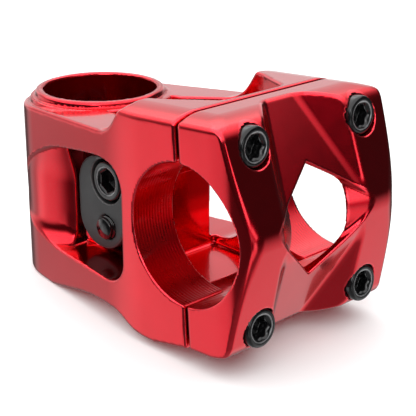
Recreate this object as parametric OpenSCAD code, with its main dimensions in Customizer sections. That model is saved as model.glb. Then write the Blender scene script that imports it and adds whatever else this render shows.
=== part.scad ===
// Handlebar stem for a bicycle: one machined body, a bolted faceplate with a
// six-sided window, and an internal steerer clamp of two wedges drawn
// together by two opposed screws.
// Frame: origin on the steerer bore axis at the stem's lower seat,
// +X forward to the handlebar, +Y to the rider's left, +Z up the steerer.

/* [Steerer clamp] */
// Bore for the steerer tube, diameter
steerer_d = 28.6; // [28.4:0.1:28.8]
// Height of the stem on the steerer, seat to collar top
stack_h = 47.5; // [44:0.5:50]
// Outside radius of the rounded rear
rear_r = 19.4; // [18.8:0.1:20.5]
// Outside radius of the raised collar
collar_r = 16.3; // [15.8:0.1:17]
// Height of the shoulder under the collar, at the steerer axis
shoulder_z = 45.1; // [44:0.1:45.5]

/* [Handlebar clamp] */
// Bore for the handlebar, diameter
bar_d = 31.8; // [31.6:0.1:32]
// Distance from steerer axis to handlebar axis
reach = 57.6; // [55:0.1:62]
// Height of the handlebar axis above the lower seat
bar_z = 30; // [29:0.5:31]
// Width over the handlebar clamp
clamp_w = 51.4; // [48:0.2:54]
// Height of the clamp above and below the handlebar axis
clamp_h = 26; // [25.8:0.1:26.6]
// Angle that the clamp is laid back from the steerer, degrees
tilt = 3.76; // [2:0.1:5]
// Gap between body and faceplate
split_gap = 0.6; // [0.4:0.1:1]

/* [Faceplate] */
// Depth of the front ridge ahead of the handlebar axis
ridge_x = 19.3; // [19:0.1:20.5]
// Height of the front ridge over the handlebar axis
ridge_z = 1; // [0:0.1:2]
// Half width of the window
window_y = 9.6; // [8:0.1:10.5]
// Half height of the window on the centre line
window_top = 12.6; // [10:0.1:14]
// Half height of the window at its sides
window_side = 6.3; // [5:0.1:7]

/* [Faceplate bolts] */
// Distance of each bolt from the centre plane
bolt_y = 17; // [16:0.1:18]
// Distance of each bolt above or below the handlebar axis
bolt_z = 19.8; // [19.4:0.1:20.2]
// Thread diameter
bolt_d = 5; // [5:0.1:5.2]
// Length under the head
bolt_len = 18; // [16:1:20]

/* [Clamp wedges] */
// Height of each wedge
wedge_h = 23.4; // [22:0.2:24]
// Height of the wedges' middle above the lower seat
wedge_z = 24.2; // [23.5:0.1:25]
// Rear edge of each wedge, ahead of the steerer axis
wedge_x0 = 8.5; // [8.2:0.1:9]
// Front edge of each wedge
wedge_x1 = 25.2; // [25:0.1:25.3]
// Outer face of each wedge from the centre plane
wedge_face = 14.5; // [14:0.1:15]
// Gap between the two wedges
wedge_gap = 3; // [2:0.1:4]
// Clamp bolts' distance ahead of the steerer axis
screw_x = 19; // [18.8:0.1:19.4]
// Distance between the two clamp bolts
screw_pitch = 11.7; // [11.4:0.1:12]
// Clamp bolt thread diameter
screw_d = 6; // [6:0.1:6.2]

/* [Hidden] */
$fn = 96;
eps = 0.01;
run = 0.05;              // running clearance of a screw in its hole
half_w = clamp_w / 2;
body_front = -split_gap; // body's split face, in the clamp's own frame
bar_r = bar_d / 2;
steerer_r = steerer_d / 2;
tilt_slope = tan(tilt);

// body
side_slope = 0.16;       // flare of the sides, mm per mm of reach
side_x0 = -rear_r * sin(atan(side_slope));
side_y0 = rear_r * cos(atan(side_slope));
side_x1 = side_x0 + (half_w - side_y0) / side_slope;
shoulder_x1 = 27.5;      // where the shoulder turns up into the arms
arm_x0 = 38.5;           // where the arms' tops begin
arm_z0 = bar_z + 24.9;
web = 4.1;               // wall between side window and handlebar bore
win_x1 = reach - bar_r - web;
tube_r = 17.2;           // steerer tube's outside where the pockets expose it
cavity_y = 17.5;         // half width of the wedge chamber
cavity_h = wedge_h + 1.2;
cavity_x0 = wedge_x0 - 0.5;
cavity_top = wedge_z + cavity_h / 2;
cavity_bottom = wedge_z - cavity_h / 2;
deck_t = 2.6;            // skin between the chamber and the top and bottom pockets
ring_t = 3.4;            // wall left round the handlebar bore
land_y = 13.3;           // inner end of each handlebar bearing land
wall_x0 = 25.6;          // cross wall that closes the wedge chamber in front
wall_x1 = 27.6;
wall_y = 12.2;           // half width of the cross wall
void_z0 = 9;             // floor of the open space between cross wall and bore
relief = 1.6;            // depth of the relief between the lands
lip = 1.8;               // thin front wall of the top pocket

// faceplate
plate_side_in = 2.9;     // how far the faceplate's sides draw in at the ridge
slope = 0.272;           // lean of the two front facets
bridge_top_x = 5;        // front edge of the bridges' tops
bridge_x = 12.9;         // front of the bridges at the window
bridge_mid_x = bridge_top_x + (bridge_x - bridge_top_x) * clamp_h / (clamp_h - window_top);
bar_in_top = 11;         // inner edges of the upright bars, top and bottom
bar_in_mid = 13.2;       // inner edges of the upright bars at the ridge
gusset_slope = 0.94;     // splay of the bars' inner gussets, mm across per mm forward
edge_in = 4.2;           // width of the sloping outer margin of the top and bottom
edge_drop = 1.3;         // fall over that margin

// fasteners
head_r = 4.3;
head_h = 5;
head_seat_r = 4.75;
head_face_x = ridge_x - slope * (bolt_z - ridge_z) + 0.2;
head_seat_x = head_face_x - head_h;
socket_r = 2.35;
screw_head_r = 5;
screw_head_h = 5.2;
screw_seat_r = 5.6;
screw_face_y = wedge_face - 0.1;
screw_seat_y = screw_face_y - screw_head_h;
screw_len = 25;
hex_af = 5;
wedge_corner = 7.9;      // corner radius of the wedges

red = [0.72, 0.03, 0.09];
black = [0.06, 0.06, 0.065];
grey = [0.22, 0.22, 0.23];

// ---------- helpers ----------

// point on a cubic Bezier curve
function bez(a, b, c, d, t) =
  pow(1 - t, 3) * a + 3 * t * pow(1 - t, 2) * b + 3 * t * t * (1 - t) * c + pow(t, 3) * d;

// the curve's points, n steps
function curve(a, b, c, d, n = 8) = [for (i = [0:n]) bez(a, b, c, d, i / n)];

// places children in the handlebar clamp's frame: X ahead of the bar axis
module clamp_frame() {
  translate([reach, 0, bar_z])
    rotate([0, -tilt, 0])
      children();
}

// a cylinder along +X from x0 to x1
module rod_x(r, x0, x1) {
  translate([x0, 0, 0])
    rotate([0, 90, 0])
      cylinder(r = r, h = x1 - x0);
}

// a cylinder along +Y from y0 to y1
module rod_y(r, y0, y1) {
  translate([0, y0, 0])
    rotate([-90, 0, 0])
      cylinder(r = r, h = y1 - y0);
}

// extrudes an XZ outline along Y, from y0 to y1
module slab_y(y0, y1) {
  translate([0, y1, 0])
    rotate([90, 0, 0])
      linear_extrude(y1 - y0)
        children();
}

// extrudes a YZ outline along X, from x0 to x1
module slab_x(x0, x1) {
  translate([x0, 0, 0])
    rotate([90, 0, 90])
      linear_extrude(x1 - x0)
        children();
}

// rounded rectangle, centred, exact arcs
module round_rect(w, h, r) {
  square([w - 2 * r, h], center = true);
  square([w, h - 2 * r], center = true);
  for (i = [-1, 1], j = [-1, 1])
    translate([i * (w / 2 - r), j * (h / 2 - r)])
      circle(r = r, $fn = 64);
}

// ---------- stem body ----------

// outline of the body seen from above
module plan_outline() {
  circle(r = rear_r, $fn = 128);
  polygon([
    [side_x0, side_y0], [side_x1, half_w], [reach + 6, half_w],
    [reach + 6, -half_w], [side_x1, -half_w], [side_x0, -side_y0]
  ]);
}

// outline of the body seen from the side
module side_outline() {
  shoulder_rear = shoulder_z - tilt_slope * 25;
  shoulder_end = shoulder_z + tilt_slope * shoulder_x1;
  top_front = arm_z0 + tilt_slope * (reach + 6 - arm_x0);
  polygon(concat(
    [[-25, 0]],
    curve([3, 0], [12, 1.6], [20, 4.8], [31, 4.8]),
    curve([32, 4.8], [38, 4.8], [38, 1.8], [45, 1.7]),
    [[48, 1.7], [reach + 6, bar_z - clamp_h + 0.9]],
    [[reach + 6, top_front]],
    curve([arm_x0, arm_z0], [35, arm_z0 - 1], [34, shoulder_end + 0.4],
          [shoulder_x1, shoulder_end]),
    [[-25, shoulder_rear]]
  ));
}

// the sloping outer margins of the clamp's top, which body and faceplate share
module top_margins(x0, x1) {
  for (s = [0, 1])
    mirror([0, s, 0])
      slab_x(x0, x1)
        polygon([
          [half_w - edge_in, clamp_h], [half_w - 0.8, clamp_h - edge_drop],
          [half_w, clamp_h - edge_drop - 0.9], [half_w + 3, clamp_h - 4],
          [half_w + 3, clamp_h + 3], [half_w - edge_in, clamp_h + 3]
        ]);
}

// the open pocket between the arms, behind the handlebar bore
module top_pocket() {
  difference() {
    translate([0, 0, wedge_z + cavity_h / 2 + deck_t])
      linear_extrude(30)
        polygon(concat(
          [[14, -10.4], [18.6, -10.4], [27, -15]],
          curve([30, -16.3], [34, -17.8], [38, -17.4], [42, -15.6], 5),
          [[48, -12.4]],
          curve([52, -10.2], [54.2, -9], [54.2, -8], [54.2, -6], 4),
          curve([54.2, 6], [54.2, 8], [54.2, 9], [52, 10.2], 4),
          [[48, 12.4]],
          curve([42, 15.6], [38, 17.4], [34, 17.8], [30, 16.3], 5),
          [[27, 15], [18.6, 10.4], [14, 10.4]]
        ));
    translate([reach, 0, bar_z])
      rod_y(bar_r + ring_t, -40, 40);
    cylinder(r = 18.6, h = 60);
    clamp_frame()
      translate([body_front - lip, -30, -30])
        cube([20, 60, 80]);
  }
}

// outline of the teardrop window in each side
module window_outline() {
  polygon(concat(
    curve([-7, 17.5], [-7, 21], [-3, 33.5], [7, 37.4], 6),
    curve([9, 38], [16, 39.6], [24, 40.9], [29, 40.7], 5),
    curve([33, 40.3], [36, 39.2], [win_x1, 37], [win_x1, 34], 5),
    curve([win_x1, 18], [win_x1, 14], [34, 11.5], [29.5, 11.4], 5),
    curve([26, 11.4], [14, 11.2], [4, 11], [-3, 11.8], 5),
    curve([-4.5, 12], [-6.4, 13], [-7, 15], [-7, 17.5], 4)
  ));
}

// one side window, cut in to the steerer tube's own wall
module side_window() {
  difference() {
    slab_y(wall_y, 30)
      window_outline();
    translate([0, 0, -1])
      cylinder(r = tube_r, h = 60);
    translate([-20, 0, cavity_top])
      cube([70, cavity_y, 30]);
    translate([-20, 0, cavity_bottom - 30])
      cube([wall_x1 + 20, cavity_y, 30]);
  }
}

// the chamber that holds the wedges, open at both sides and to the steerer
module wedge_chamber() {
  translate([cavity_x0, -cavity_y, cavity_bottom])
    cube([wall_x0 - cavity_x0, 2 * cavity_y, cavity_h]);
}

// the open space between the cross wall and the handlebar
module front_void() {
  translate([wall_x1, -land_y, void_z0])
    cube([reach - wall_x1 - 6, 2 * land_y, cavity_top - void_z0]);
}

module stem_body() {
  color(red)
  difference() {
    union() {
      intersection() {
        linear_extrude(70)
          plan_outline();
        slab_y(-40, 40)
          side_outline();
      }
      translate([0, 0, shoulder_z - 3])
        cylinder(r = collar_r, h = stack_h - shoulder_z + 3);
    }
    top_pocket();
    front_void();
    wedge_chamber();
    side_window();
    mirror([0, 1, 0])
      side_window();
    // steerer bore
    translate([0, 0, -1])
      cylinder(r = steerer_r, h = stack_h + 2, $fn = 128);
    // handlebar bore, and the relief between its lands
    translate([reach, 0, bar_z]) {
      rod_y(bar_r, -half_w - 1, half_w + 1);
      rod_y(bar_r + relief, -land_y, land_y);
    }
    clamp_frame() {
      top_margins(-24, 8);
      translate([body_front, -40, -60])
        cube([60, 80, 120]);
      for (i = [-1, 1], j = [-1, 1])
        translate([0, i * bolt_y, j * bolt_z])
          rod_x(bolt_d / 2 + run, body_front - 12, body_front + 1);
    }
  }
}

// ---------- faceplate ----------

// side view of the faceplate, in the clamp's frame
module plate_side_outline() {
  front_top = ridge_x - slope * (clamp_h - 2 - ridge_z);
  front_low = ridge_x - slope * (clamp_h - 2 + ridge_z);
  polygon([
    [0, -clamp_h], [8.5, -clamp_h], [front_low - 1, -clamp_h + 1.2],
    [front_low, -clamp_h + 2], [ridge_x, ridge_z], [front_top, clamp_h - 2],
    [front_top - 1, clamp_h - 1.2], [8.5, clamp_h], [0, clamp_h]
  ]);
}

// plan view of the faceplate: the sides run straight, then roll in to the ridge
module plate_plan_outline() {
  left = concat(
    [[0, half_w]],
    curve([9, half_w], [14, half_w], [16.6, half_w - 0.6],
          [ridge_x - 1.2, half_w - plate_side_in], 6),
    [[ridge_x + 2, half_w - plate_side_in - 4.2]]
  );
  right = [for (i = [len(left) - 1:-1:0]) [left[i][0], -left[i][1]]];
  polygon(concat(left, right));
}

// space in front of the bridges, between the upright bars
module bridge_recess() {
  intersection() {
    // above and below the window the bridge fronts lean back
    slab_y(-14, 14)
      polygon([
        [bridge_top_x, clamp_h + 1], [bridge_top_x, clamp_h], [bridge_mid_x, 0],
        [bridge_top_x, -clamp_h], [bridge_top_x, -clamp_h - 1],
        [40, -clamp_h - 1], [40, clamp_h + 1]
      ]);
    // inner faces of the upright bars
    slab_x(0, 40)
      polygon([
        [bar_in_top, clamp_h + 2], [bar_in_mid, ridge_z], [bar_in_top, -clamp_h - 2],
        [-bar_in_top, -clamp_h - 2], [-bar_in_mid, ridge_z], [-bar_in_top, clamp_h + 2]
      ]);
    // gussets that spread from the bridges to the bars
    translate([0, 0, -40])
      linear_extrude(80)
        polygon([[-0.3, 0], [39.7, 40 * gusset_slope], [39.7, -40 * gusset_slope]]);
  }
}

// the six-sided window
module window_hole() {
  slab_x(-1, 40)
    polygon([
      [0, window_top], [window_y, ridge_z + window_side], [window_y, ridge_z - window_side],
      [0, -window_top], [-window_y, ridge_z - window_side], [-window_y, ridge_z + window_side]
    ]);
}

module faceplate() {
  color(red)
  clamp_frame()
    difference() {
      intersection() {
        slab_y(-half_w, half_w)
          plate_side_outline();
        translate([0, 0, -40])
          linear_extrude(80)
            plate_plan_outline();
      }
      bridge_recess();
      top_margins(-1, 30);
      window_hole();
      rod_y(bar_r, -half_w - 1, half_w + 1);
      for (i = [-1, 1], j = [-1, 1])
        translate([0, i * bolt_y, j * bolt_z]) {
          rod_x(bolt_d / 2 + run, -1, head_seat_x + 1);
          rod_x(head_seat_r, head_seat_x, ridge_x + 4);
        }
    }
}

// ---------- fasteners ----------

// socket-head screw along +X, head toward +X, underside of the head at x = 0
module socket_screw(d, len, hr, hh, sr, sides) {
  difference() {
    union() {
      rod_x(d / 2, -len, eps);
      translate([hh - 0.5, 0, 0])
        rotate([0, 90, 0])
          cylinder(r1 = hr, r2 = hr - 0.5, h = 0.5);
      rod_x(hr, 0, hh - 0.5);
    }
    translate([hh - 2.8, 0, 0])
      rotate([0, 90, 0])
        cylinder(r = sr, h = 4, $fn = sides);
    translate([hh - 0.6, 0, 0])
      rotate([0, 90, 0])
        cylinder(r1 = sr, r2 = sr + 1, h = 0.7);
    // chamfered tip
    difference() {
      rod_x(d, -len - 1, -len + 0.6);
      translate([-len, 0, 0])
        rotate([0, 90, 0])
          cylinder(r1 = d / 2 - 0.6, r2 = d / 2, h = 0.6);
    }
  }
}

// one faceplate bolt: side -1 right, 1 left; level 1 upper, -1 lower
module faceplate_bolt(side, level) {
  color(black)
  clamp_frame()
    translate([head_seat_x, side * bolt_y, level * bolt_z])
      socket_screw(bolt_d, bolt_len, head_r, head_h, socket_r, 32);
}

// wedge on the right side, face toward -Y; the left one is this turned over
module wedge() {
  mid_x = (wedge_x0 + wedge_x1) / 2;
  difference() {
    slab_y(-wedge_face, -wedge_gap / 2)
      translate([mid_x, wedge_z])
        round_rect(wedge_x1 - wedge_x0, wedge_h, wedge_corner);
    // scoop that bears on the steerer
    cylinder(r = steerer_r + 0.2, h = 60, $fn = 128);
    // head seat and clearance hole for its own bolt
    translate([screw_x, 0, wedge_z + screw_pitch / 2]) {
      rod_y(screw_seat_r, -wedge_face - 1, -screw_seat_y);
      rod_y(screw_d / 2 + run, -screw_seat_y - 1, 0);
    }
    // thread for the opposed bolt
    translate([screw_x, 0, wedge_z - screw_pitch / 2])
      rod_y(screw_d / 2 + run, -wedge_face - 1, 0);
  }
}

module clamp_wedge_right() {
  color(grey)
    wedge();
}

module clamp_wedge_left() {
  color(grey)
    translate([0, 0, 2 * wedge_z])
      rotate([180, 0, 0])
        wedge();
}

module clamp_bolt_upper() {
  color(black)
    translate([screw_x, -screw_seat_y, wedge_z + screw_pitch / 2])
      rotate([0, 0, -90])
        socket_screw(screw_d, screw_len, screw_head_r, screw_head_h, hex_af / sqrt(3), 6);
}

module clamp_bolt_lower() {
  color(black)
    translate([screw_x, screw_seat_y, wedge_z - screw_pitch / 2])
      rotate([0, 0, 90])
        socket_screw(screw_d, screw_len, screw_head_r, screw_head_h, hex_af / sqrt(3), 6);
}

stem_body();
faceplate();
faceplate_bolt(-1, 1);  // faceplate_bolt_upper_right
faceplate_bolt(1, 1);  // faceplate_bolt_upper_left
faceplate_bolt(-1, -1);  // faceplate_bolt_lower_right
faceplate_bolt(1, -1);  // faceplate_bolt_lower_left
clamp_wedge_right();
clamp_wedge_left();
clamp_bolt_upper();
clamp_bolt_lower();
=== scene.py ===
"""Looks for a handlebar stem: machined body, bolted faceplate, steerer wedges and their screws."""

import logging
import math
from collections.abc import Callable
from dataclasses import dataclass, field
from enum import Enum

import bpy
import numpy as np
from mathutils import Matrix, Vector


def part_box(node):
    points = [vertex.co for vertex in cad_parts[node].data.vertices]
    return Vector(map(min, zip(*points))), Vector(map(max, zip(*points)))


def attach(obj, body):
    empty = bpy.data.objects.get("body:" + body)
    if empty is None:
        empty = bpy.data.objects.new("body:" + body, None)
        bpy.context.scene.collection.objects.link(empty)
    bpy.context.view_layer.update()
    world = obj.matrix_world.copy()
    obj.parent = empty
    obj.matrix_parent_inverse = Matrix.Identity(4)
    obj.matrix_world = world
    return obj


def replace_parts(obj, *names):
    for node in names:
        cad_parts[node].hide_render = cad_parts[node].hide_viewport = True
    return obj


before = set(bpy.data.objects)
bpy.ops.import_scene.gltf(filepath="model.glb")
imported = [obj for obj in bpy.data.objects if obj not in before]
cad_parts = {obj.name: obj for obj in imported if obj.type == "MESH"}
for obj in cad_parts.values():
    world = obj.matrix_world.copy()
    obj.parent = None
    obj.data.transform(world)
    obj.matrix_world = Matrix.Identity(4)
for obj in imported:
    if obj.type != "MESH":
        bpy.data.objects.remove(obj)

MM = 0.001
AROUND = 72  # steps round a turned part
SLIDE_PROBE, NORMAL_PROBE, EDGE_PROBE = 0.05, 0.12, 0.45  # millimetres
log = logging.getLogger("stem")

Pair, Triple = tuple[float, float], tuple[float, float, float]
Colour = Triple
Array = np.ndarray
Field = Callable[[Array, Array, Array], Array]
Object, Tree = bpy.types.Object, bpy.types.NodeTree
Node, Socket = bpy.types.Node, bpy.types.NodeSocket


# --- distance arithmetic ---


def both(a: Array, b: Array, r: Array | float) -> Array:
    """Signed distance to where two shapes overlap, its outer corner rolled to radius r.

    Formula: each distance raised by r, not below zero, added as the sides of a right angle
    and lowered by r; deep inside it is the larger distance.

    Args:
        a: Distance to the first shape, negative inside.
        b: Distance to the second shape.
        r: Radius of the rolled corner.

    Returns:
        The distance to the overlap.
    """
    u = np.maximum(a + r, 0.0)
    v = np.maximum(b + r, 0.0)
    return np.minimum(np.maximum(a, b), -r) + np.sqrt(u * u + v * v)


def either(a: Array, b: Array, r: Array | float) -> Array:
    """Signed distance to two shapes joined with a fillet of radius r; `both` turned inside out."""
    return -both(-a, -b, r)


def without(a: Array, b: Array, r: Array | float) -> Array:
    """Signed distance to shape a with shape b cut out and the cut's rim rolled to radius r."""
    return both(a, -b, r)


def soft_both(a: Array, b: Array, k: float) -> Array:
    """Overlap of two nearly parallel faces, eased over a band.

    Formula: the larger distance plus the square of what k exceeds their difference by, over
    four k.

    Args:
        a: Distance to the first shape.
        b: Distance to the second shape.
        k: Width of the band, as a difference of the two distances.

    Returns:
        The distance to the overlap.
    """
    h = np.maximum(k - np.abs(a - b), 0.0)
    return np.maximum(a, b) + h * h / (4 * k)


def ease(x: Array, a: float, b: float) -> Array:
    """Smooth step from 0 at a to 1 at b: three times t squared less twice t cubed."""
    t = np.clip((x - a) / (b - a), 0.0, 1.0)
    return t * t * (3 - 2 * t)


def bezier(*points: Pair, n: int = 24) -> Array:
    """Points on a cubic Bezier curve.

    Formula: the four points weighted by the binomial terms of t and 1 - t.

    Args:
        points: The four control points.
        n: Number of steps.

    Returns:
        An array of n + 1 rows, two columns.
    """
    a, b, c, d = (np.array(p, float) for p in points)
    t = np.linspace(0, 1, n + 1)[:, None]
    return (1 - t) ** 3 * a + 3 * t * (1 - t) ** 2 * b + 3 * t * t * (1 - t) * c + t**3 * d


def outline(*parts: Array | list[Pair]) -> Array:
    """Joins runs of points into one closed outline."""
    return np.vstack([np.asarray(p, float).reshape(-1, 2) for p in parts])


class OutlineTable:
    """Signed distance to a closed outline, kept as a fine table."""

    def __init__(self, points: Array, margin: float = 8.0, step: float = 0.14) -> None:
        """Fills the table.

        Formula: at each cell, the distance to the nearest edge, negative where a ray to the
        right crosses the outline an odd number of times.

        Args:
            points: Corners of the outline in order, millimetres.
            margin: How far the table reaches past the outline.
            step: Cell size.
        """
        self.step = step
        self.low = points.min(0) - margin
        count = np.ceil((points.max(0) + margin - self.low) / step).astype(int) + 2
        u = (self.low[0] + step * np.arange(count[0]))[:, None]
        v = (self.low[1] + step * np.arange(count[1]))[None, :]
        near = np.full((count[0], count[1]), 1e9)
        inside = np.zeros((count[0], count[1]), bool)
        for (ax, ay), (bx, by) in zip(points, np.roll(points, -1, 0)):
            ex, ey = bx - ax, by - ay
            square = ex * ex + ey * ey
            if square < 1e-12:
                continue
            t = np.clip(((u - ax) * ex + (v - ay) * ey) / square, 0, 1)
            near = np.minimum(near, (u - ax - t * ex) ** 2 + (v - ay - t * ey) ** 2)
            if ay != by:
                crosses = (ay > v) != (by > v)
                inside ^= crosses & (u < ax + (v - ay) / (by - ay) * ex)
        self.table = np.sqrt(near) * np.where(inside, -1.0, 1.0)

    def __call__(self, u: Array, v: Array) -> Array:
        """Distance at points u, v: the four nearest cells weighted by how close each one is."""
        n, m = self.table.shape
        a = np.clip((u - self.low[0]) / self.step, 0, n - 1.001)
        b = np.clip((v - self.low[1]) / self.step, 0, m - 1.001)
        i, j = np.floor(a).astype(int), np.floor(b).astype(int)
        s, t = a - i, b - j
        k = self.table
        return (k[i, j] * (1 - s) * (1 - t) + k[i + 1, j] * s * (1 - t)
                + k[i, j + 1] * (1 - s) * t + k[i + 1, j + 1] * s * t)


# --- surfaces ---


@dataclass
class Surface:
    """Vertices in millimetres, quads, outward normals and painted values."""

    points: Array
    quads: Array
    normals: Array | None = None
    values: dict[str, Array] = field(default_factory=dict)


def slope_of(shape: Field, p: Array, h: float) -> Array:
    """Direction in which the distance grows fastest, by central differences of width h.

    Args:
        shape: The distance field.
        p: Points, one a row.
        h: Half of the difference's width, millimetres.

    Returns:
        One vector a row, not scaled to unit length.
    """
    x, y, z = p.T
    return np.stack([
        shape(x + h, y, z) - shape(x - h, y, z),
        shape(x, y + h, z) - shape(x, y - h, z),
        shape(x, y, z + h) - shape(x, y, z - h),
    ], axis=1) / (2 * h)


def skin(shape: Field, low: Triple, high: Triple, pitch: float) -> Surface:
    """Lays a closed skin of quads over a distance field.

    Formula: one vertex in each grid cell that the surface crosses, at the mean of its edges'
    crossings, slid along the slope until the distance is zero; one quad round each grid edge
    whose ends lie on opposite sides.

    Args:
        shape: The distance field, millimetres, negative inside.
        low: Lowest corner of the space to search.
        high: Highest corner.
        pitch: Grid spacing.

    Returns:
        The skin with unit normals and an "edge" value, 0 on flats and 1 on outer corners.
    """
    axes = [np.arange(a - 2 * pitch, b + 3 * pitch, pitch) for a, b in zip(low, high)]
    x, y, z = axes[0][:, None, None], axes[1][None, :, None], axes[2][None, None, :]
    v = np.broadcast_to(shape(x, y, z), tuple(len(a) for a in axes))
    solid = v < 0
    cube = [(i, j, k) for i in (0, 1) for j in (0, 1) for k in (0, 1)]
    n = [s - 1 for s in solid.shape]
    filled = sum(
        solid[i:i + n[0], j:j + n[1], k:k + n[2]].astype(np.int8) for i, j, k in cube
    )
    cell = np.argwhere((filled > 0) & (filled < 8))
    at = {c: v[tuple((cell + c).T)] for c in cube}
    total, hits = np.zeros((len(cell), 3)), np.zeros(len(cell))
    for axis in range(3):
        for c in (c for c in cube if c[axis] == 0):
            far = tuple(1 if m == axis else c[m] for m in range(3))
            a, b = at[c], at[far]
            crossed = (a < 0) != (b < 0)
            t = np.where(crossed, a / np.where(crossed, a - b, 1.0), 0.0)
            spot = np.tile(np.array(c, float), (len(cell), 1))
            spot[:, axis] = t
            total += spot * crossed[:, None]
            hits += crossed
    points = np.array([a[0] for a in axes]) + pitch * (cell + total / hits[:, None])
    number = np.full(n, -1)
    number[tuple(cell.T)] = np.arange(len(cell))
    quads = []
    for axis in range(3):
        p, q = (axis + 1) % 3, (axis + 2) % 3
        lower = [slice(1, -1)] * 3
        lower[axis] = slice(0, -1)
        upper = list(lower)
        upper[axis] = slice(1, None)
        lo, hi = solid[tuple(lower)], solid[tuple(upper)]
        start = np.argwhere(lo != hi)
        up = lo[lo != hi]
        ring = []
        for dp, dq in ((0, 0), (1, 0), (1, 1), (0, 1)):
            where = start.copy()
            where[:, p] += dp
            where[:, q] += dq
            ring.append(number[tuple(where.T)])
        face = np.stack(ring, 1)
        quads.append(np.where(up[:, None], face, face[:, ::-1]))
    for _ in range(4):
        g = slope_of(shape, points, SLIDE_PROBE)
        f = shape(*points.T)
        step = f / np.maximum((g * g).sum(1), 0.2)
        points = points - np.clip(step, -0.4 * pitch, 0.4 * pitch)[:, None] * g
    g = slope_of(shape, points, NORMAL_PROBE)
    normals = g / np.maximum(np.linalg.norm(g, axis=1), 1e-9)[:, None]
    w = EDGE_PROBE
    spread = sum(shape(*(points + w * s * d).T) for d in np.eye(3) for s in (-1, 1))
    edge = np.clip(spread / w * 0.9, 0, 1)
    return Surface(points, np.vstack(quads), normals, {"edge": edge})


def lathe(profile: Array, radius: Callable[[Array, Array], Array], around: int) -> Surface:
    """Carries a profile round the X axis and closes both ends in a point.

    Formula: X is the profile's own, and the distance from the axis is its radius plus the
    change at that angle.

    Args:
        profile: Rows of X and radius; the first and last radius are zero.
        radius: Gives the radius change from an array of angles and the profile's rows.
        around: Number of steps round the axis.

    Returns:
        The closed surface.
    """
    angle = np.arange(around) * 2 * math.pi / around
    inner = profile[1:-1]
    r = inner[:, 1][:, None] + radius(angle[None, :], inner)
    ring = np.stack([
        np.broadcast_to(inner[:, 0][:, None], r.shape),
        r * np.cos(angle), r * np.sin(angle),
    ], axis=2).reshape(-1, 3)
    points = np.vstack([ring, [[profile[0, 0], 0, 0], [profile[-1, 0], 0, 0]]])
    row = np.arange(len(inner) - 1)[:, None] * around
    k = np.arange(around)
    k1 = np.roll(k, -1)
    quads = np.stack([row + k, row + around + k, row + around + k1, row + k1], 2).reshape(-1, 4)
    end = (len(inner) - 1) * around
    start_fan = np.stack([np.full(around, len(ring)), k, k1, k1], 1)
    end_fan = np.stack([np.full(around, len(ring) + 1), end + k1, end + k, end + k], 1)
    return Surface(points, np.vstack([quads, start_fan, end_fan]))


def add_object(name: str, data: bpy.types.ID) -> Object:
    """Makes an object of the data and links it to the scene."""
    obj = bpy.data.objects.new(name, data)
    bpy.context.scene.collection.objects.link(obj)
    return obj


def mesh_from(name: str, s: Surface) -> Object:
    """Puts a surface into a smooth-shaded mesh object at the origin.

    Args:
        name: Name of the object.
        s: The surface; a quad whose last two corners are the same is a triangle.

    Returns:
        The new object, linked to the scene.
    """
    total = np.where(s.quads[:, 2] == s.quads[:, 3], 3, 4)
    keep = np.ones(s.quads.shape, bool)
    keep[total == 3, 3] = False
    loops = s.quads[keep]
    mesh = bpy.data.meshes.new(name)
    mesh.vertices.add(len(s.points))
    mesh.vertices.foreach_set("co", (s.points * MM).astype(np.float32).ravel())
    mesh.loops.add(len(loops))
    mesh.loops.foreach_set("vertex_index", loops.astype(np.int32))
    mesh.polygons.add(len(total))
    start = np.concatenate([[0], np.cumsum(total)[:-1]])
    mesh.polygons.foreach_set("loop_start", start.astype(np.int32))
    mesh.polygons.foreach_set("loop_total", total.astype(np.int32))
    mesh.update(calc_edges=True)
    mesh.validate()
    mesh.polygons.foreach_set("use_smooth", np.ones(len(mesh.polygons), bool))
    for key, value in s.values.items():
        made = mesh.attributes.new(key, "FLOAT", "POINT")
        made.data.foreach_set("value", value.astype(np.float32))
    if s.normals is not None:
        mesh.normals_split_custom_set_from_vertices(s.normals.tolist())
    return add_object(name, mesh)


# --- finishes ---


def link(tree: Tree, a: Socket, b: Socket) -> None:
    """Joins output a to input b."""
    tree.links.new(a, b)


def object_place(tree: Tree) -> Socket:
    """The shaded point in its object's own coordinates."""
    return tree.nodes.new("ShaderNodeTexCoord").outputs["Object"]


def new_material(name: str) -> tuple[bpy.types.Material, Tree, Node]:
    """Makes a material and gives it with its node tree and its Principled node."""
    material = bpy.data.materials.new(name)
    material.use_nodes = True
    tree = material.node_tree
    return material, tree, next(n for n in tree.nodes if n.type == "BSDF_PRINCIPLED")


def math_node(tree: Tree, kind: str, a: Socket | float, b: Socket | float = 0.0,
              clamp: bool = False) -> Socket:
    """Adds a Math node.

    Args:
        tree: The node tree.
        kind: Blender's name for the operation.
        a: First value or socket.
        b: Second value or socket.
        clamp: Whether the result is held between 0 and 1.

    Returns:
        The node's output.
    """
    node = tree.nodes.new("ShaderNodeMath")
    node.operation = kind
    node.use_clamp = clamp
    for i, value in enumerate((a, b)):
        if isinstance(value, (int, float)):
            node.inputs[i].default_value = value
        else:
            link(tree, value, node.inputs[i])
    return node.outputs[0]


def new_group(name: str, inputs: dict[str, float], outputs: list[str]
              ) -> tuple[Tree, Node, Node]:
    """Makes a shader node group with named float sockets.

    Args:
        name: The group's name.
        inputs: Input names and their usual values.
        outputs: Output names.

    Returns:
        The group, its input node and its output node.
    """
    group = bpy.data.node_groups.new(name, "ShaderNodeTree")
    for key, value in inputs.items():
        made = group.interface.new_socket(key, in_out="INPUT", socket_type="NodeSocketFloat")
        made.default_value = value
    for key in outputs:
        group.interface.new_socket(key, in_out="OUTPUT", socket_type="NodeSocketFloat")
    return group, group.nodes.new("NodeGroupInput"), group.nodes.new("NodeGroupOutput")


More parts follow.
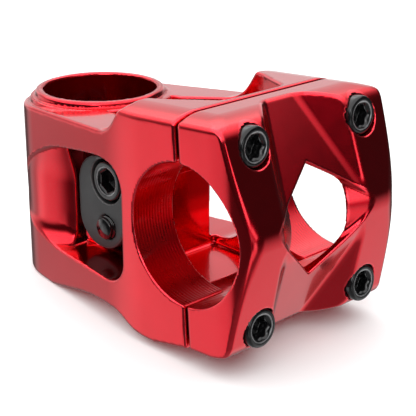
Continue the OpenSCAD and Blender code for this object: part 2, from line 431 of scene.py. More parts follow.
class Effects:
    """Shader node groups that more than one finish uses, each built once."""

    def __init__(self) -> None:
        """Builds the groups."""
        self.grain = self._grain()
        self.edge = self._edge()

    @staticmethod
    def _grain() -> Tree:
        """Fine surface grain: tiny pits for a bump and slow patches for roughness and colour."""
        group, start, end = new_group("surface_grain", {"fine_scale": 9000.0, "patch_scale": 90.0},
                                      ["fine", "patch", "smudge"])
        place = object_place(group)
        for out, key, factor, detail in (("fine", "fine_scale", 1.0, 3.0),
                                         ("patch", "patch_scale", 1.0, 2.0),
                                         ("smudge", "patch_scale", 3.7, 5.0)):
            noise = group.nodes.new("ShaderNodeTexNoise")
            link(group, place, noise.inputs["Vector"])
            scale = math_node(group, "MULTIPLY", start.outputs[key], factor)
            link(group, scale, noise.inputs["Scale"])
            noise.inputs["Detail"].default_value = detail
            link(group, noise.outputs[0], end.inputs[out])
        return group

    @staticmethod
    def _edge() -> Tree:
        """Wear on outer corners, and on the screws' rims partly a painted highlight: the painted
        edge value, broken up by noise.
        """
        group, start, end = new_group("edge_wear_and_glint", {"start": 0.35, "width": 0.3, "breakup": 0.35},
                                      ["mask"])
        place = object_place(group)
        edge = group.nodes.new("ShaderNodeAttribute")
        edge.attribute_name = "edge"
        noise = group.nodes.new("ShaderNodeTexNoise")
        noise.inputs["Scale"].default_value = 900.0
        link(group, place, noise.inputs["Vector"])
        rough = math_node(group, "SUBTRACT", noise.outputs[0], 0.5)
        rough = math_node(group, "MULTIPLY", rough, start.outputs["breakup"])
        level = math_node(group, "ADD", edge.outputs["Fac"], rough)
        above = math_node(group, "SUBTRACT", level, start.outputs["start"])
        mask = math_node(group, "DIVIDE", above, start.outputs["width"], clamp=True)
        link(group, mask, end.inputs["mask"])
        return group


def blend_colour(tree: Tree, mask: Socket, a: Colour | Socket,
                 b: Colour | Socket) -> Socket:
    """Mixes colour a into colour b by a mask.

    Args:
        tree: The node tree.
        mask: 0 gives a, 1 gives b.
        a: First colour or socket.
        b: Second colour or socket.

    Returns:
        The mixed colour's socket.
    """
    node = tree.nodes.new("ShaderNodeMix")
    node.data_type = "RGBA"
    link(tree, mask, node.inputs[0])
    for i, value in ((6, a), (7, b)):
        if isinstance(value, tuple):
            node.inputs[i].default_value = (*value, 1.0)
        else:
            link(tree, value, node.inputs[i])
    return node.outputs[2]


@dataclass(frozen=True)
class Finish:
    """What every finish has: two colours in patches, a lighter colour on worn corners (on the
    screws' rims partly a painted highlight), smudges and a fine grain.
    """

    name: str
    slot: str
    dark: Colour
    light: Colour
    worn_and_glint: Colour
    metallic: float
    smooth: float
    smudge: float
    grain_mm: float
    fine_scale: float = 9000.0
    patch_scale: float = 90.0
    wear_and_glint_start: float = 0.35
    wear_and_glint: float = 1.0
    specular: float = 0.5
    coat: float = 0.0
    coat_rough: float = 0.03

    def extra(self, tree: Tree, rough: Socket, height: Socket) -> tuple[Socket, Socket]:
        """Adds what only this finish has.

        Args:
            tree: The material's tree.
            rough: Roughness so far.
            height: Height so far, millimetres.

        Returns:
            The roughness and the height to use.
        """
        return rough, height

    def build(self, effects: Effects) -> bpy.types.Material:
        """Builds the material.

        Args:
            effects: The shared groups.

        Returns:
            The material.
        """
        material, tree, shader = new_material(self.name)
        grain, edge = tree.nodes.new("ShaderNodeGroup"), tree.nodes.new("ShaderNodeGroup")
        grain.node_tree, edge.node_tree = effects.grain, effects.edge
        grain.inputs["fine_scale"].default_value = self.fine_scale
        grain.inputs["patch_scale"].default_value = self.patch_scale
        edge.inputs["start"].default_value = self.wear_and_glint_start
        colour = blend_colour(tree, grain.outputs["patch"], self.dark, self.light)
        # Lighter colour on worn corners; on the screws' rims it is partly a painted highlight.
        mask = math_node(tree, "MULTIPLY", edge.outputs["mask"], self.wear_and_glint)
        link(tree, blend_colour(tree, mask, colour, self.worn_and_glint), shader.inputs["Base Color"])
        shader.inputs["Metallic"].default_value = self.metallic
        shader.inputs["Specular IOR Level"].default_value = self.specular
        shader.inputs["Coat Weight"].default_value = self.coat
        shader.inputs["Coat Roughness"].default_value = self.coat_rough
        rough = math_node(tree, "MULTIPLY", grain.outputs["smudge"], self.smudge)
        rough = math_node(tree, "ADD", rough, self.smooth)
        height = math_node(tree, "MULTIPLY", grain.outputs["fine"], self.grain_mm)
        rough, height = self.extra(tree, rough, height)
        link(tree, rough, shader.inputs["Roughness"])
        bump = tree.nodes.new("ShaderNodeBump")
        bump.inputs["Distance"].default_value = MM
        bump.inputs["Strength"].default_value = 1.0
        link(tree, height, bump.inputs["Height"])
        link(tree, bump.outputs[0], shader.inputs["Normal"])
        return material


@dataclass(frozen=True)
class RedAnodised(Finish):
    """Bright-dipped, dyed aluminium under a sealed coat, with turned grooves in the bar's bore."""

    name: str = "red_anodised_aluminium"
    slot: str = "red_anodised"
    dark: Colour = (0.60, 0.003, 0.012)
    light: Colour = (0.72, 0.005, 0.020)
    worn_and_glint: Colour = (0.88, 0.03, 0.05)
    metallic: float = 1.0
    smooth: float = 0.165
    smudge: float = 0.07
    grain_mm: float = 0.0012
    coat: float = 0.5
    coat_rough: float = 0.05
    groove_pitch: float = 0.82
    groove_mm: float = 0.02
    groove_rough: float = 0.08
    axis: Pair = (57.6, 30.0)
    bore_r: float = 16.02

    def extra(self, tree: Tree, rough: Socket, height: Socket) -> tuple[Socket, Socket]:
        """Adds grooves wherever a point is as near the bar's axis as the bore.

        Formula: inside the bore's radius about the axis, a sine along Y is added to the height
        and a constant to the roughness. Arguments and results are the base's.
        """
        split = tree.nodes.new("ShaderNodeSeparateXYZ")
        link(tree, object_place(tree), split.inputs[0])
        dx = math_node(tree, "SUBTRACT", split.outputs[0], self.axis[0] * MM)
        dz = math_node(tree, "SUBTRACT", split.outputs[2], self.axis[1] * MM)
        dx, dz = math_node(tree, "MULTIPLY", dx, dx), math_node(tree, "MULTIPLY", dz, dz)
        away = math_node(tree, "SQRT", math_node(tree, "ADD", dx, dz))
        inside = math_node(tree, "LESS_THAN", away, self.bore_r * MM)
        turn = math_node(tree, "MULTIPLY", split.outputs[1], 2 * math.pi / (self.groove_pitch * MM))
        ripple = math_node(tree, "MULTIPLY", math_node(tree, "SINE", turn), inside)
        ripple = math_node(tree, "MULTIPLY", ripple, self.groove_mm)
        rougher = math_node(tree, "MULTIPLY", inside, self.groove_rough)
        return math_node(tree, "ADD", rough, rougher), math_node(tree, "ADD", ripple, height)


class Metal(Enum):
    """The finishes: red, black oxide with an oily sheen, and bead-blasted grey."""

    RED = RedAnodised()
    # Its lighter worn colour falls only on the screws' rims: partly wear, partly a painted
    # highlight.
    BLACK = Finish(
        "black_oxide_steel", "black_steel", dark=(0.003, 0.003, 0.0033),
        light=(0.009, 0.009, 0.010), worn_and_glint=(0.2, 0.2, 0.205), metallic=0.3, smooth=0.07,
        smudge=0.16, grain_mm=0.003, patch_scale=260.0, wear_and_glint_start=0.62, specular=0.35,
        coat=0.4, coat_rough=0.06)
    GREY = Finish(
        "grey_blasted_aluminium", "grey_anodised", dark=(0.045, 0.047, 0.048),
        light=(0.07, 0.073, 0.074), worn_and_glint=(0.2, 0.2, 0.2), metallic=0.55, smooth=0.46,
        smudge=0.12, grain_mm=0.012, fine_scale=5200.0, patch_scale=160.0, wear_and_glint_start=0.5,
        wear_and_glint=0.5)


class Paintbox:
    """Builds each finish once and hands it out."""

    def __init__(self) -> None:
        """Builds the shared effects and every finish."""
        effects = Effects()
        self.materials = {metal: metal.value.build(effects) for metal in Metal}

    def dress(self, obj: Object, metal: Metal) -> None:
        """Gives obj a finish."""
        obj.data.materials.clear()
        obj.data.materials.append(self.materials[metal])


# --- the stem ---


@dataclass
class Clamp:
    """Sizes that the body and the faceplate share, millimetres."""

    reach: float = 57.6
    bar_z: float = 30.0
    tilt: float = math.radians(3.76)
    bar_r: float = 15.9
    half_w: float = 25.7
    half_h: float = 26.0
    gap: float = 0.6
    bolt_y: float = 17.0
    bolt_z: float = 19.8
    bolt_r: float = 2.5
    ridge_x: float = 19.3
    ridge_z: float = 1.0
    slope: float = 0.272
    head_h: float = 5.0
    head_proud: float = 0.2
    seat_r: float = 4.52
    hole_slack: float = 0.05
    margin_in: float = 4.2
    margin_normal: Pair = (0.357, 0.934)

    @property
    def head_seat_x(self) -> float:
        """Where the screw heads seat, ahead of the bar axis."""
        face = self.ridge_x - self.slope * (self.bolt_z - self.ridge_z)
        return face + self.head_proud - self.head_h

    def local(self, x: Array, z: Array) -> tuple[Array, Array]:
        """Turns frame X and Z into the clamp's own: ahead of the bar axis, and above it."""
        c, s = math.cos(self.tilt), math.sin(self.tilt)
        dx, dz = x - self.reach, z - self.bar_z
        return dx * c + dz * s, dz * c - dx * s

    def placed(self, p: Array) -> Array:
        """Turns points in the clamp's own frame back into the part's frame."""
        c, s = math.cos(self.tilt), math.sin(self.tilt)
        return np.stack([self.reach + p[:, 0] * c - p[:, 2] * s, p[:, 1],
                         self.bar_z + p[:, 0] * s + p[:, 2] * c], axis=1)

    def margins(self, y: Array, zc: Array) -> Array:
        """Distance to the sloping outer margins of the clamp's top."""
        across, up = self.margin_normal
        return across * (y - self.half_w + self.margin_in) + up * (zc - self.half_h)


@dataclass
class StemBody:
    """The machined body: steerer clamp, side windows, arms and the rear of the bar clamp."""

    clamp: Clamp
    rear_r: float = 19.4
    bore_r: float = 14.3
    collar_r: float = 16.3
    stack_h: float = 47.5
    skirt_r: float = 17.6
    skirt_z: float = 45.9
    collar_from: float = 30.0
    shoulder_z: float = 45.1
    flare: float = 0.16
    flare_soft: float = 1.1
    dish: float = 2.2
    wedge_z: float = 24.2
    chamber_h: float = 24.6
    chamber_y: float = 18.4
    chamber_x: Pair = (8.0, 25.6)
    cross_wall: float = 2.0
    window_y: float = 12.2
    land_y: float = 13.3
    void_z: float = 9.0
    void_end: float = 6.0
    pocket_floor: float = 2.6
    pocket_wall: float = 3.4
    pocket_lip: float = 1.8
    pocket_rear_r: float = 18.6
    relief: float = 1.6
    hole_depth: float = 12.0
    corner: float = 0.9
    bore_rim: float = 0.45
    pitch: float = 0.56

    def __post_init__(self) -> None:
        """Prepares the outline tables."""
        self.side = OutlineTable(self.side_outline())
        self.window = OutlineTable(self.window_outline(), margin=20.0)
        self.pocket = OutlineTable(self.pocket_outline())

    def side_outline(self) -> Array:
        """The body's outline from the side: X and Z."""
        c = self.clamp
        t = math.tan(c.tilt)
        end_x = 27.5
        end_z = self.shoulder_z + t * end_x
        arm_x, arm_z = 38.0, c.bar_z + 24.9 - 0.5 * t
        front = c.reach + 6
        return outline(
            [(-30, 0)],
            bezier((3, 0), (12, 1.6), (20, 4.8), (31, 4.8)),
            bezier((32, 4.8), (38, 4.8), (38, 1.8), (45, 1.7)),
            [(48, 1.7), (front, c.bar_z - c.half_h + 0.9)],
            [(front, arm_z + t * (front - arm_x))],
            bezier((arm_x, arm_z), (35.6, arm_z - 2.4), (34.2, end_z + 0.2), (end_x, end_z)),
            [(-30, self.shoulder_z - t * 30)],
        )

    def window_outline(self) -> Array:
        """The teardrop window's outline from the side: X and Z."""
        x1 = self.clamp.reach - self.clamp.bar_r - 4.1
        return outline(
            bezier((-16, 17.5), (-16, 24), (-7, 34), (7, 37.4)),
            bezier((9, 37.8), (16, 39), (24, 40.4), (29, 40.7)),
            bezier((33, 40.3), (36, 39.2), (x1, 37), (x1, 34)),
            bezier((x1, 18), (x1, 14), (34, 11.5), (29.5, 11.4)),
            bezier((26, 11.4), (14, 11.2), (4, 11), (-5, 11.2)),
            bezier((-8.5, 11.3), (-14, 12), (-16, 14), (-16, 17.5)),
        )

    def pocket_outline(self) -> Array:
        """The top pocket's outline from above: X and Y."""
        half = outline(
            [(14, -10.4), (18.6, -10.4), (27, -15)],
            bezier((30, -16.3), (34, -17.8), (38, -17.4), (42, -15.6)),
            [(48, -12.4)],
            bezier((52, -10.2), (54.2, -9), (54.2, -8), (54.2, -6)),
        )
        return outline(half, half[::-1] * [1, -1])

    def plan(self, x: Array, y: Array) -> Array:
        """Distance to the outline from above, y taken as positive.

        Formula: behind the point where the flared side touches the round rear, the distance
        to the circle; ahead of it, to the flared plane, bent softly into the flat side.

        Args:
            x, y: Place in the part's frame, millimetres.

        Returns:
            The distance.
        """
        n = math.hypot(1, self.flare)
        c, s = 1 / n, self.flare / n
        flat = y - self.clamp.half_w
        flared = soft_both(y * c - x * s - self.rear_r, flat, self.flare_soft)
        return np.where(x * c + y * s > 0, flared, np.hypot(x, y) - self.rear_r)

    def pocket_cut(self, x: Array, y: Array, z: Array) -> Array:
        """Distance to the top pocket, kept off the bar, the steerer and the parting line."""
        k = self.clamp
        away = np.hypot(x - k.reach, z - k.bar_z)
        floor = self.wedge_z + self.chamber_h / 2 + self.pocket_floor
        cut = both(self.pocket(x, y), floor - z, 1.4)
        cut = both(cut, k.bar_r + self.pocket_wall - away, 1.2)
        cut = both(cut, self.pocket_rear_r - np.hypot(x, y), 0.8)
        return both(cut, k.local(x, z)[0] + k.gap + self.pocket_lip, 1.0)

    def chamber_cut(self, x: Array, y: Array, z: Array) -> Array:
        """Distance to the wedges' chamber."""
        x0, x1 = self.chamber_x
        tall = np.abs(z - self.wedge_z) - self.chamber_h / 2
        return both(both(np.maximum(x0 - x, x - x1), tall, 0.8), y - self.chamber_y, 0.8)

    def void_cut(self, x: Array, y: Array, z: Array) -> Array:
        """Distance to the open space between the cross wall and the bar."""
        top = self.wedge_z + self.chamber_h / 2
        front = x - self.clamp.reach + self.void_end
        cut = both(both(self.chamber_x[1] + self.cross_wall - x, front, 0.8),
                   np.maximum(self.void_z - z, z - top), 1.2)
        return both(cut, y - self.land_y, 1.0)

    def cut_window(self, body: Array, x: Array, y: Array, z: Array) -> Array:
        """Cuts the side window, whose rear is the steerer clamp's own round wall.

        Formula: the wall's radius is the rear's less a dish that deepens towards the wedges,
        so it leaves the flared side with no edge at the back; its rim is rolled only where it
        is deep, and its low rear corner has a wide fillet.

        Args:
            body: Distance to the body so far.
            x, y, z: Place in the part's frame, millimetres, y taken as positive.

        Returns:
            The distance to the body with the window cut.
        """
        radius = np.hypot(x, y)
        opening = both(self.window(x, z), self.window_y - y, 0.6)
        dish = self.dish * (1 - ease(z, 27.0, 40.0)) * ease(x, -15.0, 6.0)
        fillet = 0.8 + 4.4 * (1 - ease(z, 15.0, 30.0)) * (1 - ease(x, 5.0, 12.0))
        scoop = both(opening, self.rear_r - dish - radius, fillet)
        depth = radius - self.plan(x, y) - self.rear_r + dish
        body = without(body, scoop, 0.5 * ease(depth, 0.0, 1.4))
        return without(body, both(opening, self.chamber_x[0] + 0.2 - x, 0.6), 0.4)

    def shape(self, x: Array, y: Array, z: Array) -> Array:
        """Signed distance to the body.

        Formula: both outlines' block joined to its collar, less pocket, chamber, void, windows,
        bores and bolt holes, cut off at the gap.

        Args:
            x, y, z: Place in the part's frame, millimetres.

        Returns:
            The distance.
        """
        k = self.clamp
        y = np.abs(y)
        xc, zc = k.local(x, z)
        radius = np.hypot(x, y)
        body = both(self.plan(x, y), self.side(x, z), self.corner)
        body = both(body, k.margins(y, zc), 0.9)
        skirt = both(radius - self.skirt_r, z - self.skirt_z, 0.5)
        collar = both(radius - self.collar_r, z - self.stack_h, 0.9)
        for ring in (skirt, collar):
            body = either(body, np.maximum(ring, self.collar_from - z), 0.5)
        away = np.hypot(x - k.reach, z - k.bar_z)
        body = without(body, self.pocket_cut(x, y, z), 0.6)
        body = without(body, self.chamber_cut(x, y, z), 0.4)
        body = without(body, self.void_cut(x, y, z), 0.4)
        body = self.cut_window(body, x, y, z)
        body = without(body, radius - self.bore_r, self.bore_rim)
        body = without(body, away - k.bar_r, self.bore_rim)
        body = without(body, both(away - k.bar_r - self.relief, y - self.land_y, 0.5), 0.35)
        around = np.hypot(y - k.bolt_y, np.abs(zc) - k.bolt_z)
        holes = both(around - k.bolt_r - k.hole_slack, -(xc + k.gap + self.hole_depth), 0.3)
        body = without(body, holes, 0.35)
        return both(body, xc + k.gap, 0.6)

    def build(self, paint: Paintbox) -> Object:
        """Lays the skin, dresses it and puts it on its body."""
        s = skin(self.shape, (-19.5, -25.8, 0), (62, 25.8, 57), self.pitch)
        obj = mesh_from("machined_body", s)
        paint.dress(obj, Metal.RED)
        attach(obj, "body")
        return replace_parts(obj, "stem_body")


@dataclass
class Faceplate:
    """The bolted front of the handlebar clamp with its six-sided window."""

    clamp: Clamp
    window_y: float = 8.5
    window_top: float = 12.6
    window_slants: Pair = (0.62, 0.80)
    window_draft: float = 2.0
    bridge_top_x: float = 5.0
    bridge_x: float = 13.0
    gusset: Triple = (0.7142, -0.6753, 0.1838)
    gusset_at: Triple = (18.9, 13.1, 0.6)
    brow: Pair = (0.507, 0.862)
    brow_at: Pair = (10.0, 0.05)
    pitch: float = 0.4

    def __post_init__(self) -> None:
        """Prepares the outline from above."""
        half = self.clamp.half_w
        left = outline(
            [(-12, half)],
            bezier((9, half), (14, half), (16.6, half - 0.6), (18.1, half - 2.9)),
            [(24.3, half - 11.04)],
        )
        self.plan = OutlineTable(outline(left, left[::-1] * [1, -1]), margin=6)

    def window(self, x: Array, y: Array, z: Array) -> Array:
        """Distance to the six-sided window, y taken as positive.

        Formula: two slanted planes that meet on the middle line above and below, and a side
        plane that opens outwards with the distance from the bar's surface.

        Args:
            x, y, z: Place in the clamp's own frame, millimetres.

        Returns:
            The distance.
        """
        up, down = self.window_slants
        open_by = self.window_draft * np.maximum(np.hypot(x, z) - self.clamp.bar_r, 0)
        side = (y - self.window_y - open_by) / math.hypot(1, self.window_draft)
        upper = (z + up * y - self.window_top) / math.hypot(1, up)
        lower = (-z + down * y - self.window_top) / math.hypot(1, down)
        return both(np.maximum(upper, lower), side, 1.2)

    def recess(self, x: Array, y: Array, z: Array) -> Array:
        """Distance to the recess: ahead of the bridge's leaning plane, inside both gussets."""
        k = self.clamp
        lean = (self.bridge_x - self.bridge_top_x) / (k.half_h - self.window_top)
        front = self.bridge_top_x + lean * (k.half_h - np.abs(z))
        bridge = (front - x) / math.hypot(1, lean)
        (a, b, c), (u, v, w) = self.gusset, self.gusset_at
        gusset = a * (x - u) + b * (y - v) + c * (np.abs(z - k.ridge_z) - w)
        return both(bridge, -gusset, 0.9)

    def local_shape(self, x: Array, y: Array, z: Array) -> Array:
        """Signed distance in the clamp's own frame.

        Formula: two front planes that meet at the ridge, cut by the brow, the outline, the
        margins and the parting plane, less the recess, window, bore and bolt holes.

        Args:
            x, y, z: Place in the clamp's own frame, millimetres.

        Returns:
            The distance.
        """
        k = self.clamp
        y = np.abs(y)
        tall = np.abs(z)
        n = math.hypot(1, k.slope)
        upper = (x + k.slope * (z - k.ridge_z) - k.ridge_x) / n
        lower = (x - k.slope * (z - k.ridge_z) - k.ridge_x) / n
        front = both(upper, lower, 1.2)
        brow = (self.brow[0] * (x - self.brow_at[0])
                + self.brow[1] * (tall - k.half_h + self.brow_at[1]))
        body = both(both(front, brow, 1.6), tall - k.half_h, 2.0)
        body = both(body, self.plan(x, y), 1.0)
        body = both(body, np.where(z > 0, k.margins(y, z), -9.0), 0.9)
        body = both(body, -x, 1.2)
        body = without(body, self.recess(x, y, z), 0.7)
        body = without(body, self.window(x, y, z), 0.6)
        body = without(body, np.hypot(x, z) - k.bar_r, 0.4)
        around = np.hypot(y - k.bolt_y, tall - k.bolt_z)
        body = without(body, around - k.bolt_r - k.hole_slack, 0.3)
        seat = both(around - k.seat_r, k.head_seat_x - x, 0.2)
        return without(body, seat, 0.2)

    def build(self, paint: Paintbox) -> Object:
        """Lays the skin, dresses it and puts it on its body."""
        s = skin(self.local_shape, (0, -25.8, -26.1), (19.6, 25.8, 26.1), self.pitch)
        c, t = math.cos(self.clamp.tilt), math.sin(self.clamp.tilt)
        turn = np.array([[c, 0, t], [0, 1, 0], [-t, 0, c]])
        s.points, s.normals = self.clamp.placed(s.points), s.normals @ turn
        obj = mesh_from("windowed_faceplate", s)
        paint.dress(obj, Metal.RED)
        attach(obj, "faceplate")
        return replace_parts(obj, "faceplate")


@dataclass
class Screw:
    """A socket-head screw along +X, its head's seat at X = 0."""

    r: float
    length: float
    head_r: float
    head_h: float
    socket_r: float
    pitch: float
    lobes: int = 6
    lobe_depth: float = 0.3
    socket_depth: float = 3.0
    mouth: float = 0.9
    hex_flat: float = 0.866
    thread_from: float = 0.9
    thread_depth: float = 0.58
    tip: float = 0.6
    hexagon: bool = False

    def profile(self) -> Array:
        """Rows of X and radius from the socket's floor, over the head, down to the tip."""
        h, s = self.head_h, self.socket_r
        floor = h - self.socket_depth
        rim = bezier((h, self.head_r - 0.75), (h, self.head_r - 0.3),
                     (h - 0.35, self.head_r), (h - 0.8, self.head_r), n=8)
        lip = bezier((h - self.mouth, s), (h - 0.35, s + 0.15), (h - 0.1, s + 0.45),
                     (h, s + 0.85), n=6)
        wall = np.stack([np.linspace(floor, h - self.mouth, 8), np.full(8, s)], 1)
        rows = int((self.length - 1.0) / self.pitch * 8)
        thread = np.stack([np.linspace(-self.thread_from, -self.length + self.tip, rows),
                           np.full(rows, self.r)], 1)
        return outline(
            [(floor - 0.3, 0), (floor - 0.15, s * 0.6), (floor - 0.05, s * 0.95)], wall, lip,
            rim, [(h - 2, self.head_r), (0.3, self.head_r), (0, self.head_r - 0.3),
                  (0, self.r + 0.25), (-0.25, self.r)],
            thread, [(-self.length, self.r - self.tip), (-self.length, 0)],
        )

    def change(self, angle: Array, rows: Array) -> Array:
        """How the radius differs from the profile's.

        Formula: a hexagon is the wall's radius over the cosine of the angle from the nearest
        flat; a lobed socket adds a cosine of the number of lobes; the thread is a ridge whose
        phase goes round once a pitch.

        Args:
            angle: Angles round the axis.
            rows: The profile's rows of X and radius.

        Returns:
            The change, one row for each row of the profile.
        """
        h = self.head_h
        x, r = rows[:, :1], rows[:, 1:]
        floor = h - self.socket_depth
        deep = np.where((r < self.socket_r + 0.05) & (x > floor - 0.2), 1.0, 0.0)
        fade = np.where((x > h - self.mouth) & (r > self.socket_r) & (r < self.socket_r + 0.8),
                        1 - (x - h + self.mouth) / self.mouth, deep)
        fade = np.clip(fade, 0, 1)
        if self.hexagon:
            part = (angle + math.pi / 6) % (math.pi / 3) - math.pi / 6
            socket = r * (self.hex_flat / np.cos(part) - 1.0)
        else:
            socket = -self.lobe_depth * (0.5 - 0.5 * np.cos(self.lobes * angle))
            socket = np.where(r > 0.6, socket, socket * r)
        on = (np.clip((-self.thread_from - x) / 0.8, 0, 1)
              * np.clip((x + self.length - 0.3) / 0.6, 0, 1))
        phase = (x / self.pitch - angle / (2 * math.pi)) % 1.0
        ridge = -(self.thread_depth * self.pitch) * np.abs(2 * phase - 1) ** 1.2
        return fade * socket + on * ridge

    def surface(self) -> Surface:
        """The whole screw as one closed surface, its edge value a bell curve about each rim, where
        the black finish paints a lighter ring: partly wear, partly a painted highlight.
        """
        profile = self.profile()
        s = lathe(profile, self.change, AROUND)
        inner = profile[1:-1]
        h = self.head_h
        # Lighter rings at the socket's lip and the head's rim: partly wear, partly a painted
        # highlight on the chamfers.
        rim = np.exp(-((inner[:, 0] - h + 0.1) / 0.25) ** 2) * np.exp(
            -((inner[:, 1] - self.socket_r - 0.65) / 0.3) ** 2)
        rim = rim + 0.6 * np.exp(-((inner[:, 0] - h + 0.25) ** 2
                                   + (inner[:, 1] - self.head_r + 0.2) ** 2) / 0.06)
        s.values["edge"] = np.append(np.repeat(np.clip(rim, 0, 1), AROUND), [0, 0])
        return s


@dataclass
class FaceplateBolts:
    """The four six-lobe screws that hold the faceplate."""

    clamp: Clamp
    screw: Screw = field(default_factory=lambda: Screw(
        r=2.5, length=18, head_r=4.42, head_h=5.0, socket_r=2.55, pitch=0.8, lobe_depth=0.42))

    def build(self, paint: Paintbox) -> list[Object]:
        """Builds and places the four screws."""
        made = []
        for side, across in (("right", -1), ("left", 1)):
            for level, above in (("upper", 1), ("lower", -1)):
                name = f"{level}_{side}"
                s = self.screw.surface()
                spot = [self.clamp.head_seat_x, across * self.clamp.bolt_y,
                        above * self.clamp.bolt_z]
                s.points = self.clamp.placed(s.points + spot)
                obj = mesh_from(f"lobed_screw_{name}", s)
                paint.dress(obj, Metal.BLACK)
                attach(obj, f"faceplate_bolt_{name}")
                made.append(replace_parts(obj, f"faceplate_bolt_{name}"))
        return made


@dataclass
class WedgeClamp:
    """The two steerer wedges and the two opposed screws that draw them together."""

    x0: float = 8.5
    x1: float = 25.2
    mid_z: float = 24.2
    height: float = 23.4
    face: float = 14.5
    gap: float = 3.0
    corner: float = 7.9
    bore_r: float = 14.5
    screw_x: float = 19.0
    spacing: float = 11.7
    seat_r: float = 5.6
    pitch: float = 0.4
    screw: Screw = field(default_factory=lambda: Screw(
        r=3.0, length=25, head_r=5.0, head_h=5.2, socket_r=2.9, pitch=1.0, hexagon=True,
        mouth=0.7))

    @property
    def seat_y(self) -> float:
        """How far the heads seat from the middle plane."""
        return self.face - 0.1 - self.screw.head_h

    def shape(self, x: Array, y: Array, z: Array) -> Array:
        """Signed distance to the right-hand wedge, whose outer face looks along -Y."""
        y = -y
        dz = z - self.mid_z
        w, h = (self.x1 - self.x0) / 2, self.height / 2
        qx = np.abs(x - (self.x0 + self.x1) / 2) - w + self.corner
        qz = np.abs(dz) - h + self.corner
        block = (np.hypot(np.maximum(qx, 0), np.maximum(qz, 0))
                 + np.minimum(np.maximum(qx, qz), 0) - self.corner)
        body = both(block, np.maximum(self.gap / 2 - y, y - self.face), 0.45)
        body = without(body, np.hypot(x, y) - self.bore_r, 0.4)
        own = np.hypot(x - self.screw_x, dz - self.spacing / 2)
        body = without(body, both(own - self.seat_r, self.seat_y - y, 0.2), 0.4)
        body = without(body, own - self.screw.r - 0.05, 0.2)
        other = np.hypot(x - self.screw_x, dz + self.spacing / 2)
        return without(body, other - self.screw.r - 0.1, 0.35)

    def turned(self, p: Array) -> Array:
        """Half a turn about the X axis through the wedges' middle."""
        return p * [1, -1, -1] + [0, 0, 2 * self.mid_z]

    def build(self, paint: Paintbox) -> list[Object]:
        """Builds both wedges and both screws."""
        low = (self.x0, -self.face, self.mid_z - self.height / 2)
        high = (self.x1, -self.gap / 2, self.mid_z + self.height / 2)
        right = skin(self.shape, low, high, self.pitch)
        left = Surface(self.turned(right.points), right.quads, right.normals * [1, -1, -1],
                       dict(right.values))
        made = []
        for side, s in (("right", right), ("left", left)):
            obj = mesh_from(f"steerer_wedge_{side}", s)
            paint.dress(obj, Metal.GREY)
            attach(obj, f"wedge_{side}")
            made.append(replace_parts(obj, f"clamp_wedge_{side}"))
        for level, mirrored in (("upper", False), ("lower", True)):
            s = self.screw.surface()
            x, y, z = s.points.T
            p = np.stack([self.screw_x + y, -self.seat_y - x,
                          self.mid_z + self.spacing / 2 + z], axis=1)
            s.points = self.turned(p) if mirrored else p
            obj = mesh_from(f"hex_screw_{level}", s)
            paint.dress(obj, Metal.BLACK)
            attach(obj, f"clamp_bolt_{level}")
            made.append(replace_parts(obj, f"clamp_bolt_{level}"))
        return made


# --- studio ---


@dataclass(frozen=True)
class Panel:
    """A soft light panel far away: its direction, its reach in degrees and its strength."""

    toward: Triple
    reach: float
    soft: float
    strength: float


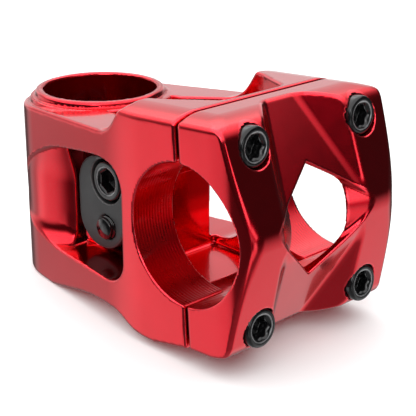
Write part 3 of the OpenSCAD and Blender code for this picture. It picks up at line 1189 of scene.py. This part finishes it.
@dataclass
class Studio:
    """Pale floor, soft panels and the camera."""

    camera_mm: Triple = (222.7, -178.1, 119.67)
    camera_right: Triple = (0.6965, 0.7175, 0.0)
    camera_back: Triple = (0.6729, -0.6532, 0.3473)
    lens: float = 99.54
    floor_half: float = 4.0
    base: float = 0.05
    panels: tuple[Panel, ...] = (
        Panel((0.0, -0.1, 1.0), 58, 20, 1.9),  # ceiling
        Panel((0.60, -0.70, 0.46), 11, 7, 3.4),  # over the camera
        Panel((1.0, -0.02, 0.10), 9, 8, 2.6),  # front
        Panel((0.93, -0.14, -0.34), 11, 9, 1.3),  # low front
        Panel((-0.72, 0.62, 0.26), 32, 20, 0.85),  # rear left
        Panel((-1.0, -0.25, 0.25), 24, 16, 0.6),  # rear
        Panel((-0.61, -0.71, -0.35), 17, 22, 0.95),  # low rear right
        Panel((-0.92, -0.32, -0.25), 18, 20, 0.45),  # low rear
        Panel((0.42, 0.65, -0.63), 24, 22, 0.68),  # low front left
        Panel((0.0, 0.0, -1.0), 60, 40, 0.3),  # floor's bounce
    )

    def camera(self) -> Object:
        """Makes the camera looking along its fitted axes."""
        data = bpy.data.cameras.new("camera")
        data.lens = self.lens
        data.sensor_width = 36.0
        data.clip_start, data.clip_end = 0.01, 20.0
        obj = add_object("camera", data)
        right = Vector(self.camera_right).normalized()
        back = Vector(self.camera_back).normalized()
        up = back.cross(right).normalized()
        m = Matrix((right, up, back)).transposed().to_4x4()
        m.translation = Vector(self.camera_mm) * MM
        obj.matrix_world = m
        bpy.context.scene.camera = obj
        return obj

    def world(self) -> None:
        """Builds the world light: a dim surround and soft round-edged panels by direction."""
        world = bpy.data.worlds.new("studio")
        bpy.context.scene.world = world
        world.use_nodes = True
        tree = world.node_tree
        background = next(n for n in tree.nodes if n.type == "BACKGROUND")
        place = tree.nodes.new("ShaderNodeTexCoord").outputs["Generated"]
        total: Socket | float = self.base
        for panel in self.panels:
            dot = tree.nodes.new("ShaderNodeVectorMath")
            dot.operation = "DOT_PRODUCT"
            link(tree, place, dot.inputs[0])
            dot.inputs[1].default_value = Vector(panel.toward).normalized()
            ramp = tree.nodes.new("ShaderNodeMapRange")
            ramp.interpolation_type = "SMOOTHSTEP"
            ramp.inputs["From Min"].default_value = math.cos(
                math.radians(panel.reach + panel.soft / 2))
            ramp.inputs["From Max"].default_value = math.cos(
                math.radians(max(panel.reach - panel.soft / 2, 0)))
            ramp.inputs["To Max"].default_value = panel.strength
            link(tree, dot.outputs["Value"], ramp.inputs["Value"])
            total = math_node(tree, "ADD", ramp.outputs[0], total)
        link(tree, total, background.inputs["Strength"])
        background.inputs["Color"].default_value = (1, 1, 1, 1)

    def floor(self) -> Object:
        """Makes the pale floor under the part, with a faint mottle in its paint."""
        low = min(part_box(n)[0].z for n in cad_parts)
        mesh = bpy.data.meshes.new("floor")
        s = self.floor_half
        mesh.from_pydata([(-s, -s, low), (s, -s, low), (s, s, low), (-s, s, low)], [],
                         [(0, 1, 2, 3)])
        obj = add_object("floor", mesh)
        material, tree, shader = new_material("pale_floor")
        noise = tree.nodes.new("ShaderNodeTexNoise")
        link(tree, object_place(tree), noise.inputs["Vector"])
        noise.inputs["Scale"].default_value = 6.0
        link(tree, blend_colour(tree, noise.outputs[0], (0.93, 0.93, 0.93), (0.97, 0.97, 0.97)),
             shader.inputs["Base Color"])
        shader.inputs["Roughness"].default_value = 0.9
        shader.inputs["Specular IOR Level"].default_value = 0.1
        mesh.materials.append(material)
        obj.visible_glossy = False
        return obj

    def build(self) -> None:
        """Builds the whole studio."""
        self.camera()
        self.world()
        self.floor()
        bpy.context.scene.view_settings.view_transform = "Standard"


def main() -> None:
    """Builds every piece in order."""
    logging.basicConfig(level=logging.INFO, format="%(name)s: %(message)s")
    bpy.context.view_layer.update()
    Studio().build()
    paint = Paintbox()
    clamp = Clamp()
    for part in (StemBody(clamp), Faceplate(clamp), FaceplateBolts(clamp), WedgeClamp()):
        made = part.build(paint)
        for obj in made if isinstance(made, list) else [made]:
            obj.data.calc_loop_triangles()
            log.info("%s: %d triangles", obj.name, len(obj.data.loop_triangles))


if __name__ == "__main__":
    main()
